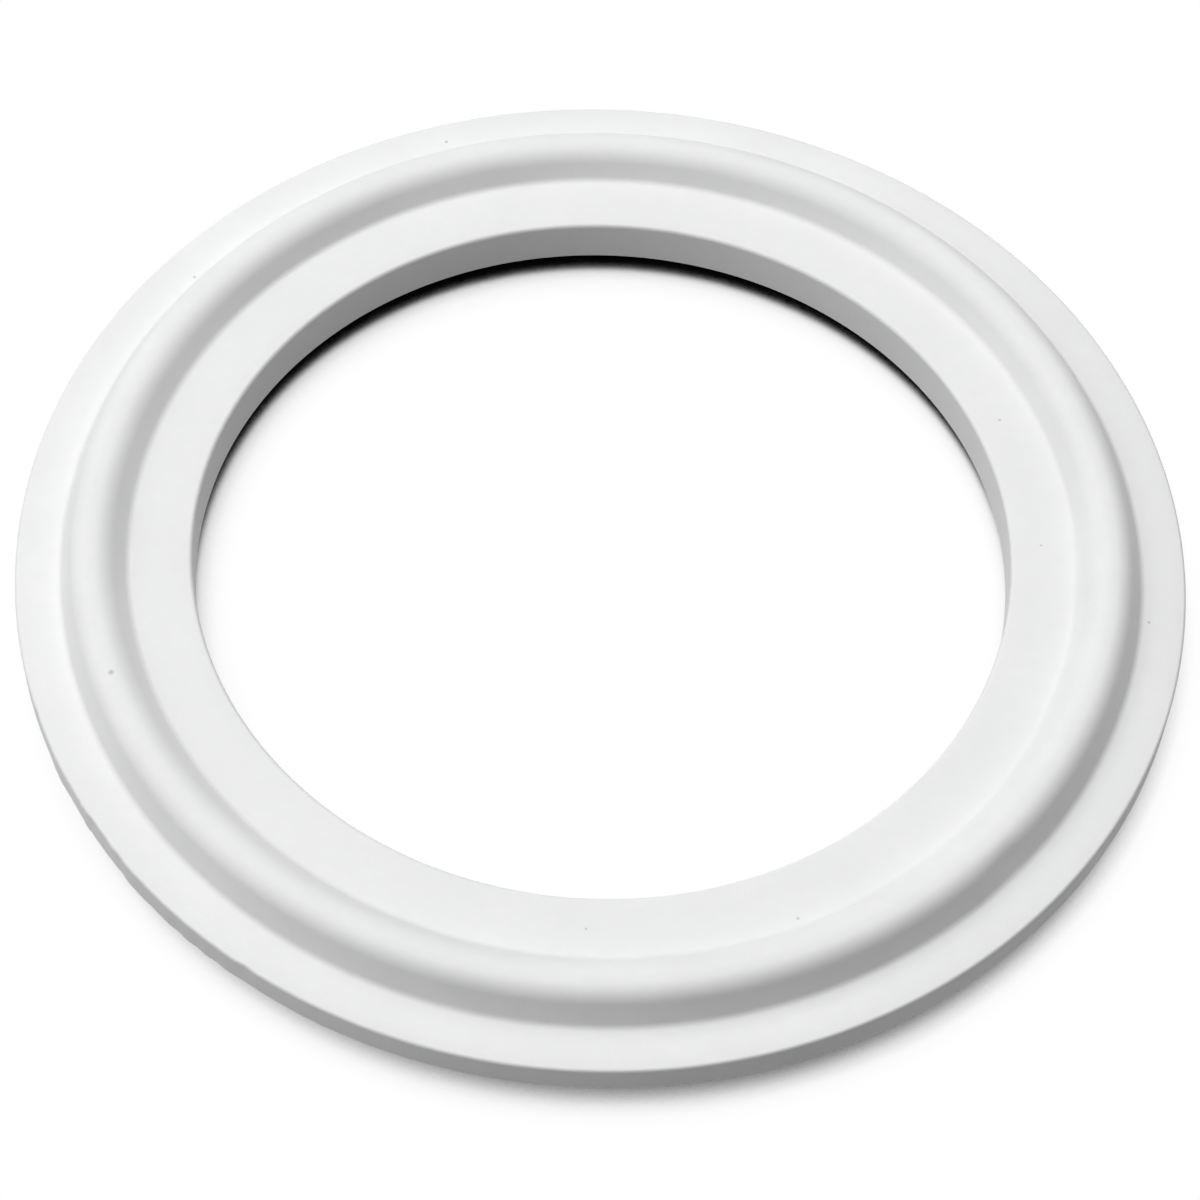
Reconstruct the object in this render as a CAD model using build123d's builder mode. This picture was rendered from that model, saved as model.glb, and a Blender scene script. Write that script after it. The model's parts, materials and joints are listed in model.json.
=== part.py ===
"""Sanitary clamp gasket: one moulded elastomer ring, nominal 1.5 inch size.

Millimetres, +Z up. The ring's axis is Z and its lowest point, the crest of the lower bead,
lies on Z = 0. The section is the same above and below the ring's mid-plane.
"""

import os
from math import cos, radians, sin, tan

from build123d import *

# ---- diameters ----
OUTER_DIAMETER = 50.5  # rim of the flange, level with the rims of the two ferrules
BEAD_CIRCLE_DIAMETER = 43.7  # circle of the bead's crest, on the ferrules' grooves
BORE_DIAMETER = 35.3  # flow bore

# ---- heights across the section ----
OVERALL_HEIGHT = 4.3  # crest of the lower bead to crest of the upper bead
LAND_THICKNESS = 2.2  # inner land, between the bore and the bead
FLANGE_THICKNESS = 1.5  # outer flange, between the bead and the rim

# ---- bead ----
CREST_RADIUS = 1.1  # full-round crest
FLANK_DRAFT = 22.0  # degrees that each flank leans from the vertical, so that the mould lets go

# ---- eased bore edges and bead roots; the rim is trimmed square ----
BORE_EDGE_EASE = 0.18
LAND_ROOT_EASE = 0.26  # where the bead meets the inner land
FLANGE_ROOT_EASE = 0.30  # where the bead meets the outer flange

# ---- derived ----
outer_radius = OUTER_DIAMETER / 2
bead_circle_radius = BEAD_CIRCLE_DIAMETER / 2
bore_radius = BORE_DIAMETER / 2
mid_height = OVERALL_HEIGHT / 2


def land_band():
    """Flat inner land, from the bore to the middle of the bead."""
    land_width = bead_circle_radius - bore_radius
    with Locations((bore_radius + land_width / 2, mid_height)):
        Rectangle(land_width, LAND_THICKNESS)


def flange_band():
    """Thinner outer flange, from the middle of the bead to the rim."""
    flange_width = outer_radius - bead_circle_radius
    with Locations((outer_radius - flange_width / 2, mid_height)):
        Rectangle(flange_width, FLANGE_THICKNESS)


def bead():
    """Bead that stands proud of both faces: round crests, and flanks that widen to the mid-plane."""
    draft = radians(FLANK_DRAFT)
    crest_height = OVERALL_HEIGHT / 2
    shoulder_height = crest_height - CREST_RADIUS + CREST_RADIUS * sin(draft)
    shoulder_offset = CREST_RADIUS * cos(draft)
    foot_offset = shoulder_offset + shoulder_height * tan(draft)

    def across(offset, height):
        return (bead_circle_radius + offset, mid_height + height)

    with BuildLine() as outline:
        for face in (1, -1):
            inner_shoulder = across(-shoulder_offset, face * shoulder_height)
            outer_shoulder = across(shoulder_offset, face * shoulder_height)
            Line(across(-foot_offset, 0), inner_shoulder)
            ThreePointArc(inner_shoulder, across(0, face * crest_height), outer_shoulder)
            Line(outer_shoulder, across(foot_offset, 0))
    make_face(outline.edges())


def corners_outwards(section):
    """Pairs of section corners, upper and lower, in order from the axis to the rim."""
    return section.vertices().group_by(Axis.X)


def gasket_section():
    """Radial section of the ring on the XZ plane, with its eased roots and bore edges."""
    with BuildSketch(Plane.XZ) as section:
        land_band()
        flange_band()
        bead()
        # the roots of the bead are the second pair from the axis and the second pair from the rim
        chamfer(corners_outwards(section)[1], LAND_ROOT_EASE)
        chamfer(corners_outwards(section)[-2], FLANGE_ROOT_EASE)
        chamfer(corners_outwards(section)[0], BORE_EDGE_EASE)
    return section.sketch


with BuildPart() as gasket:
    add(gasket_section())
    revolve(axis=Axis.Z)

gasket.part.label = "gasket_ring"

os.makedirs("parts", exist_ok=True)
export_step(gasket.part, "parts/gasket_ring.step")
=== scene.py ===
import json
import math

import bpy
import numpy as np
from mathutils import Matrix, Vector


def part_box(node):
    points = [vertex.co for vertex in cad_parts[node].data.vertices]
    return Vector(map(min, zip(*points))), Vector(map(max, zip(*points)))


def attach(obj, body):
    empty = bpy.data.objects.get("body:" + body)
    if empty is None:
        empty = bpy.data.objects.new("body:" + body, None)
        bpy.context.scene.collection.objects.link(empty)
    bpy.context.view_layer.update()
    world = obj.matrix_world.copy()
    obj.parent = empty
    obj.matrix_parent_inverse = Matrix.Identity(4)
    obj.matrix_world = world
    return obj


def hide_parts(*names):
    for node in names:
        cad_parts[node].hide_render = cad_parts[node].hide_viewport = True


# ---------------------------------------------------------------- frame
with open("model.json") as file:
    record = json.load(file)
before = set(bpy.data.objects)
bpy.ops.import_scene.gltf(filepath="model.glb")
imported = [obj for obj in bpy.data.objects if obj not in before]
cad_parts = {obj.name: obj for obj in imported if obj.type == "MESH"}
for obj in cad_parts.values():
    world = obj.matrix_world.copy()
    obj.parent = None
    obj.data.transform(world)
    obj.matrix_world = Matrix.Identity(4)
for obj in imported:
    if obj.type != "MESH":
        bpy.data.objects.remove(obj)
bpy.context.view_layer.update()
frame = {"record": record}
ring_low, ring_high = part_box("gasket_ring")
mounts = {mount["name"]: mount for mount in frame["record"]["mounts"]}

MM = 0.001
RIM_R = (ring_high.x - ring_low.x) / 2
BORE_R = mounts["bore"]["dims"]["r_mm"] * MM
TOP_Z = ring_high.z
MID_Z = (ring_high.z + ring_low.z) / 2
LAND_HALF = mounts["upper_seal_face"]["pos_m"][2] - MID_Z

# ---------------------------------------------------------------- section of the ring, in metres
BEAD_CIRCLE_R = 21.85 * MM
INNER_CREST_R = 1.20 * MM
INNER_DRAFT = math.radians(39)  # lean of the bead's bore-side flank from the vertical
OUTER_CREST_R = 0.95 * MM
OUTER_DRAFT = math.radians(28)  # lean of its rim-side flank
OUTER_FLAT = 0.15 * MM  # level band on the rim side of the crest line
FLANGE_HALF = 0.75 * MM
BORE_EDGE = 0.18 * MM  # rounded edges
RIM_EDGE = 0.14 * MM
LAND_ROOT = 0.40 * MM  # concave blends at the foot of the bead
FLANGE_ROOT = 0.30 * MM
CREST_TOP = TOP_Z - MID_Z
OUTER_SHOULDER_X = OUTER_FLAT + OUTER_CREST_R * math.cos(OUTER_DRAFT)

# level band, crest radius and lean of the bead, on the bore side (-1) and the rim side (+1)
FLANKS = {-1: (0.0, INNER_CREST_R, INNER_DRAFT), 1: (OUTER_FLAT, OUTER_CREST_R, OUTER_DRAFT)}

HALF_TURN = math.pi
QUARTER = math.pi / 2
THREE_QUARTERS = 1.5 * math.pi
ROOT_POINTS = 9
BORE_EDGE_POINTS = 7
RIM_EDGE_POINTS = 6
CREST_POINTS = 12
FLAT_POINTS = 2
STEPS = 720  # sections round the ring


def arc(x, z, r, start, end, count):
    """Points of an arc in the (radius, height) plane, from one angle to the other."""
    return [(x + r * math.cos(t), z + r * math.sin(t)) for t in np.linspace(start, end, count)]


def root_fillet(side, level, r):
    """Concave blend from a flat face up to the bead's flank, on side -1 (bore) or +1 (rim)."""
    flat, crest_r, draft = FLANKS[side]
    shoulder_x = flat + crest_r * math.cos(draft)
    shoulder_z = CREST_TOP - crest_r * (1 - math.sin(draft))
    z = level + r
    x = shoulder_x + (shoulder_z - z) * math.tan(draft) + r / math.cos(draft)
    blend = arc(x, z, r, THREE_QUARTERS, HALF_TURN + draft, ROOT_POINTS)
    return [(BEAD_CIRCLE_R + side * away, height) for away, height in blend]


def straight(start, end):
    """Points between two section points, ends left out."""
    return [tuple(point) for point in np.linspace(start, end, FLAT_POINTS + 2)[1:-1]]


def upper_half():
    """Upper half of the section, from the middle of the bore wall to the middle of the rim."""
    land_root = root_fillet(-1, LAND_HALF, LAND_ROOT)
    flange_root = root_fillet(1, FLANGE_HALF, FLANGE_ROOT)[::-1]
    bore_x = BORE_R + BORE_EDGE
    bore_edge = arc(bore_x, LAND_HALF - BORE_EDGE, BORE_EDGE, HALF_TURN, QUARTER, BORE_EDGE_POINTS)
    inner_z = CREST_TOP - INNER_CREST_R
    crest = arc(BEAD_CIRCLE_R, inner_z, INNER_CREST_R, HALF_TURN - INNER_DRAFT, QUARTER, CREST_POINTS)
    outer_x = BEAD_CIRCLE_R + OUTER_FLAT
    crest += arc(outer_x, CREST_TOP - OUTER_CREST_R, OUTER_CREST_R, QUARTER, OUTER_DRAFT, CREST_POINTS)
    rim_edge = arc(RIM_R - RIM_EDGE, FLANGE_HALF - RIM_EDGE, RIM_EDGE, QUARTER, 0, RIM_EDGE_POINTS)
    points = [(BORE_R, 0.0)] + bore_edge
    points += straight(bore_edge[-1], land_root[0]) + land_root
    points += crest + flange_root
    points += straight(flange_root[-1], rim_edge[0]) + rim_edge
    points += straight(rim_edge[-1], (RIM_R, 0.0)) + [(RIM_R, 0.0)]
    return points


upper = upper_half()
lower = [(r, -z) for r, z in upper[::-1]][1:-1]
section = np.array(upper + lower)

angle = np.linspace(0, 2 * math.pi, STEPS, endpoint=False)
radius = np.repeat(section[None, :, 0], STEPS, 0)
height = np.repeat(section[None, :, 1], STEPS, 0)
turn = np.repeat(angle[:, None], len(section), 1)

# ---------------------------------------------------------------- marks of trimming and handling
SEED = 7
TRIM_CENTRE = 224.0  # degrees round the ring from +X, as are the other places on it
TRIM_HALF = 26.0
TRIM_RISE = 2.2  # how fast the marks reach full depth from the ends of the stretch
NICK_DEPTH = 0.09 * MM
FINE_NICKS = 300  # nicks in a full turn
COARSE_NICKS = 120
FINE_SHARE = 0.75
WAVE_SHARE = 0.25  # how much a nick's depth varies up the wall
WAVE_TURN = 2.1
WAVE_SHIFT = 6
DENT_AT = 318.0
DENT_HALF = 7.0
DENT_WIDTH = 0.6 * MM
DENT_DEPTH = 0.10 * MM
rng = np.random.default_rng(SEED)


def smooth_noise(count, knots):
    """Repeating noise from 0 to 1 round the ring, with this many bumps."""
    values = rng.random(knots)
    at = np.arange(count) * knots / count
    low = np.floor(at).astype(int)
    blend = (at - low) ** 2 * (3 - 2 * (at - low))
    return values[low % knots] * (1 - blend) + values[(low + 1) % knots] * blend


def window(theta, centre_deg, half_deg):
    """1 at this place round the ring, falling evenly to 0 at half_deg on each side."""
    away = np.angle(np.exp(1j * (theta - math.radians(centre_deg))))
    return np.clip(1 - np.abs(away) / math.radians(half_deg), 0, 1)


# shallow upright nicks in the trimmed rim, on a stretch of it; all marks go inwards
rim_band = 2 * RIM_EDGE
on_rim = np.clip((radius - (RIM_R - rim_band)) / rim_band, 0, 1)
trimmed = np.minimum(1, TRIM_RISE * window(turn, TRIM_CENTRE, TRIM_HALF))
nicks = FINE_SHARE * smooth_noise(STEPS, FINE_NICKS) + (1 - FINE_SHARE) * smooth_noise(STEPS, COARSE_NICKS)
wave = np.sin(height / FLANGE_HALF * WAVE_TURN + WAVE_SHIFT * nicks[:, None])
radius = radius - NICK_DEPTH * on_rim * trimmed * nicks[:, None] * (1 - WAVE_SHARE + WAVE_SHARE * wave)

# a shallow dent in the outer flank of the upper bead
across = np.clip(1 - np.abs(radius - (BEAD_CIRCLE_R + OUTER_SHOULDER_X)) / DENT_WIDTH, 0, 1)
radius = radius - DENT_DEPTH * window(turn, DENT_AT, DENT_HALF) ** 2 * across * (height > FLANGE_HALF)

# ---------------------------------------------------------------- mesh of the ring
points = np.stack([radius * np.cos(turn), radius * np.sin(turn), height + MID_Z], -1).reshape(-1, 3)
around = np.arange(STEPS)[:, None]
along = np.arange(len(section))[None, :]
this_turn, next_turn = around * len(section), (around + 1) % STEPS * len(section)
next_along = (along + 1) % len(section)
quads = [this_turn + along, this_turn + next_along, next_turn + next_along, next_turn + along]
faces = np.stack(quads, -1).reshape(-1, 4)

mesh = bpy.data.meshes.new("gasket_ring_moulded")
mesh.from_pydata(points.tolist(), [], faces.tolist())
mesh.update()
mesh.polygons.foreach_set("use_smooth", [True] * len(mesh.polygons))
ring = bpy.data.objects.new("gasket_ring_moulded", mesh)
bpy.context.scene.collection.objects.link(ring)

# ---------------------------------------------------------------- material
CLOUD_SCALE = 220  # bumps per metre, as are the other scales
MOTTLE_SCALE = 1900
SPECK_SCALE = 260
GRAIN_SCALE = 9000
RIPPLE_SCALE = 1500
SPECK_SIZE = 0.028
SPECK_CHANCE = 0.86  # cells above this share hold a speck
mat = bpy.data.materials.new("white_silicone")
mat.use_nodes = True
nt = mat.node_tree
bsdf = nt.nodes["Principled BSDF"]
bsdf.inputs["Roughness"].default_value = 0.5
bsdf.inputs["Specular IOR Level"].default_value = 0.35
bsdf.inputs["Subsurface Weight"].default_value = 0.06
bsdf.inputs["Subsurface Scale"].default_value = 0.3 * MM
bsdf.inputs["Subsurface Radius"].default_value = (1.0, 0.95, 0.9)
place = nt.nodes.new("ShaderNodeTexCoord")


def link(a, b):
    nt.links.new(a, b)


def math_node(kind, a, b=None):
    """A Math node with this operation on two sockets or numbers."""
    node = nt.nodes.new("ShaderNodeMath")
    node.operation = kind
    for socket, value in zip(node.inputs, (a, b)):
        if isinstance(value, (int, float)):
            socket.default_value = value
        elif value is not None:
            link(value, socket)
    return node.outputs[0]


def noise(scale, detail):
    """Noise in object space."""
    node = nt.nodes.new("ShaderNodeTexNoise")
    node.inputs["Scale"].default_value = scale
    node.inputs["Detail"].default_value = detail
    link(place.outputs["Object"], node.inputs["Vector"])
    return node.outputs["Fac"]


def mix(fac, a, b):
    """Mixes two colours by a socket; each colour is a tuple or a socket."""
    node = nt.nodes.new("ShaderNodeMix")
    node.data_type = "RGBA"
    link(fac, node.inputs[0])
    for socket, value in ((node.inputs[6], a), (node.inputs[7], b)):
        if isinstance(value, tuple):
            socket.default_value = value
        else:
            link(value, socket)
    return node.outputs[2]


def level(fac, low, high):
    """Stretches a noise socket so that low becomes 0 and high becomes 1."""
    node = nt.nodes.new("ShaderNodeMapRange")
    node.inputs["From Min"].default_value = low
    node.inputs["From Max"].default_value = high
    link(fac, node.inputs["Value"])
    return node.outputs["Result"]


# body colour: white with faint broad clouds and fine mottling
clouds = level(noise(CLOUD_SCALE, 3), 0.35, 0.65)
mottle = level(noise(MOTTLE_SCALE, 4), 0.3, 0.7)
colour = mix(clouds, (0.838, 0.840, 0.843, 1), (0.872, 0.874, 0.877, 1))
colour = mix(math_node("MULTIPLY", mottle, 0.30), colour, (0.815, 0.817, 0.820, 1))

# small grey specks, thinly scattered
specks = nt.nodes.new("ShaderNodeTexVoronoi")
specks.inputs["Scale"].default_value = SPECK_SCALE
link(place.outputs["Object"], specks.inputs["Vector"])
chance = nt.nodes.new("ShaderNodeSeparateColor")
link(specks.outputs["Color"], chance.inputs["Color"])
near = math_node("LESS_THAN", specks.outputs["Distance"], SPECK_SIZE)
few = math_node("GREATER_THAN", chance.outputs[0], SPECK_CHANCE)
speck_here = math_node("MULTIPLY", near, few)
colour = mix(math_node("MULTIPLY", speck_here, 0.55), colour, (0.33, 0.33, 0.34, 1))

# single small marks on the upper face, placed one by one from the photo: degrees from +X, radius, height,
# size
LAND_TOP = MID_Z + LAND_HALF
FLANGE_TOP = MID_Z + FLANGE_HALF
marks = [
    (144, 23.6 * MM, FLANGE_TOP, 0.10 * MM),  # left, by the bead
    (23, 18.9 * MM, LAND_TOP, 0.09 * MM),  # right, on the land
    (2, 19.0 * MM, LAND_TOP, 0.07 * MM),
    (353, 23.7 * MM, FLANGE_TOP, 0.09 * MM),  # right, outside the bead
    (203, 21.9 * MM, TOP_Z, 0.16 * MM),  # left, a scuff on the crest
    (295, 20.1 * MM, LAND_TOP, 0.09 * MM),  # front, on the land
    (270, 19.1 * MM, LAND_TOP, 0.07 * MM),
]
for bearing_deg, mark_r, mark_z, size in marks:
    gap = nt.nodes.new("ShaderNodeVectorMath")
    gap.operation = "DISTANCE"
    link(place.outputs["Object"], gap.inputs[0])
    bearing = math.radians(bearing_deg)
    gap.inputs[1].default_value = (mark_r * math.cos(bearing), mark_r * math.sin(bearing), mark_z)
    inside = level(gap.outputs["Value"], size, 0.4 * size)
    colour = mix(math_node("MULTIPLY", inside, 0.6), colour, (0.42, 0.42, 0.43, 1))
link(colour, bsdf.inputs["Base Color"])

# moulded surface: fine grain, with a duller and a smoother finish in patches
link(math_node("ADD", math_node("MULTIPLY", clouds, 0.10), 0.46), bsdf.inputs["Roughness"])
bump = nt.nodes.new("ShaderNodeBump")
bump.inputs["Strength"].default_value = 0.35
bump.inputs["Distance"].default_value = 0.012 * MM
grain = math_node("ADD", noise(GRAIN_SCALE, 2), math_node("MULTIPLY", noise(RIPPLE_SCALE, 3), 1.5))
link(grain, bump.inputs["Height"])
link(bump.outputs["Normal"], bsdf.inputs["Normal"])
mesh.materials.append(mat)

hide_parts("gasket_ring")
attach(ring, "root")

# ---------------------------------------------------------------- floor
FLOOR_R = 3.0
WIDE_REACH = 3 * MM
FLOOR_SIDES = 96
# the shadow is worked out only between the first two of these
floor_radii = [BORE_R - WIDE_REACH - MM, RIM_R + WIDE_REACH + MM, FLOOR_R]
spokes = [2 * math.pi * k / FLOOR_SIDES for k in range(FLOOR_SIDES)]
floor_points = [(r * math.cos(t), r * math.sin(t), 0) for r in floor_radii for t in spokes]
floor_faces = [list(range(FLOOR_SIDES))]
for band in range(len(floor_radii) - 1):
    near, far = band * FLOOR_SIDES, (band + 1) * FLOOR_SIDES
    for k in range(FLOOR_SIDES):
        after = (k + 1) % FLOOR_SIDES
        floor_faces.append([near + k, far + k, far + after, near + after])
floor_mesh = bpy.data.meshes.new("floor")
floor_mesh.from_pydata(floor_points, [], floor_faces)
floor = bpy.data.objects.new("floor", floor_mesh)
bpy.context.scene.collection.objects.link(floor)


def floor_material(name):
    """Pale floor: a plain diffuse bounce for the object, and a white that the camera and gloss rays see."""
    made = bpy.data.materials.new(name)
    made.use_nodes = True
    tree = made.node_tree
    tree.nodes.clear()
    out = tree.nodes.new("ShaderNodeOutputMaterial")
    bounce = tree.nodes.new("ShaderNodeBsdfDiffuse")
    bounce.inputs["Color"].default_value = (0.42, 0.42, 0.42, 1)
    seen = tree.nodes.new("ShaderNodeEmission")
    path = tree.nodes.new("ShaderNodeLightPath")
    glossy_too = tree.nodes.new("ShaderNodeMath")
    glossy_too.operation = "MAXIMUM"
    tree.links.new(path.outputs["Is Camera Ray"], glossy_too.inputs[0])
    tree.links.new(path.outputs["Is Glossy Ray"], glossy_too.inputs[1])
    pick = tree.nodes.new("ShaderNodeMixShader")
    tree.links.new(glossy_too.outputs[0], pick.inputs[0])
    tree.links.new(bounce.outputs[0], pick.inputs[1])
    tree.links.new(seen.outputs[0], pick.inputs[2])
    tree.links.new(pick.outputs[0], out.inputs["Surface"])
    floor_mesh.materials.append(made)
    return tree, seen


_, plain_seen = floor_material("floor_white")
plain_seen.inputs["Color"].default_value = (1, 1, 1, 1)
shaded_tree, seen = floor_material("floor_white_shaded")
for number, face in enumerate(floor_mesh.polygons):
    face.material_index = int(1 <= number <= FLOOR_SIDES)

def occlusion(reach, towards, samples, stops):
    """Floor brightness from how open it is above; stops are (open share, brightness)."""
    shade = shaded_tree.nodes.new("ShaderNodeAmbientOcclusion")
    shade.samples = samples
    shade.inputs["Distance"].default_value = reach
    lean = shaded_tree.nodes.new("ShaderNodeCombineXYZ")
    for axis, value in zip(lean.inputs, towards):
        axis.default_value = value
    shaded_tree.links.new(lean.outputs[0], shade.inputs["Normal"])
    ramp = shaded_tree.nodes.new("ShaderNodeValToRGB")
    ramp.color_ramp.elements.remove(ramp.color_ramp.elements[0])
    ramp.color_ramp.elements[0].position = stops[0][0]
    ramp.color_ramp.elements[0].color = (stops[0][1],) * 3 + (1,)
    for open_share, bright in stops[1:]:
        ramp.color_ramp.elements.new(open_share).color = (bright, bright, bright, 1)
    shaded_tree.links.new(shade.outputs["AO"], ramp.inputs[0])
    return ramp.outputs[0]


# the ring's shadow on the floor: occlusion by its own shape, with ramps tuned to the photo. The close
# one reaches a little less than the flange's height, so it fills only the gap under the land; the wide one is
# the soft shadow away from the light.
CLOSE_REACH = 0.99 * (MID_Z - FLANGE_HALF)
close_stops = [(0.735, 0.004), (0.755, 0.35), (0.785, 0.78), (0.83, 0.94), (0.93, 1.0)]
wide_stops = [(0.22, 0.10), (0.42, 0.60), (0.56, 0.92), (0.75, 1.0)]
close = occlusion(CLOSE_REACH, (-0.50, 0.40, 0.77), 72, close_stops)
wide = occlusion(WIDE_REACH, (-0.35, 0.35, 0.87), 16, wide_stops)
both = shaded_tree.nodes.new("ShaderNodeMix")
both.data_type = "RGBA"
both.blend_type = "MULTIPLY"
both.inputs[0].default_value = 1.0
shaded_tree.links.new(close, both.inputs[6])
shaded_tree.links.new(wide, both.inputs[7])
shaded_tree.links.new(both.outputs[2], seen.inputs["Color"])

# ---------------------------------------------------------------- light
world = bpy.data.worlds.new("studio")
bpy.context.scene.world = world
world.use_nodes = True
bg = world.node_tree.nodes["Background"]
bg.inputs["Color"].default_value = (1, 1, 1, 1)
bg.inputs["Strength"].default_value = 0.10


def lamp(name, where, size, power):
    """Square soft box at this place, aimed at the ring."""
    light = bpy.data.lights.new(name, "AREA")
    light.energy = power
    light.size = size
    soft_box = bpy.data.objects.new(name, light)
    soft_box.location = where
    soft_box.rotation_euler = (-Vector(where)).to_track_quat("-Z", "Y").to_euler()
    bpy.context.scene.collection.objects.link(soft_box)


lamp("top", where=(-0.06, 0.16, 0.48), size=0.60, power=2.85)
lamp("side", where=(-0.45, -0.05, 0.30), size=0.35, power=0.75)

# ---------------------------------------------------------------- camera
ELEVATION = math.radians(55.07)
ROLL = math.radians(2.44)
AIM_BELOW = math.radians(0.78)  # the camera looks this much below the ring's middle
DISTANCE = 147.8 * MM
LENS_PX = 3400.0
IMAGE_PX = 1200.0
SENSOR_MM = 36.0

cam = bpy.data.cameras.new("camera")
cam.sensor_width = SENSOR_MM
cam.lens = LENS_PX / IMAGE_PX * SENSOR_MM
cam.clip_start = 0.01
cam_obj = bpy.data.objects.new("camera", cam)
target = Vector((0, 0, MID_Z))
back = Vector((0, -math.cos(ELEVATION), math.sin(ELEVATION)))
cam_obj.location = target + back * DISTANCE
look = (-back).to_track_quat("-Z", "Y").to_matrix()
look = look @ Matrix.Rotation(-AIM_BELOW, 3, "X") @ Matrix.Rotation(ROLL, 3, "Z")
cam_obj.rotation_euler = look.to_euler()
bpy.context.scene.collection.objects.link(cam_obj)
bpy.context.scene.camera = cam_obj

# ---------------------------------------------------------------- view
bpy.context.scene.view_settings.view_transform = "Standard"
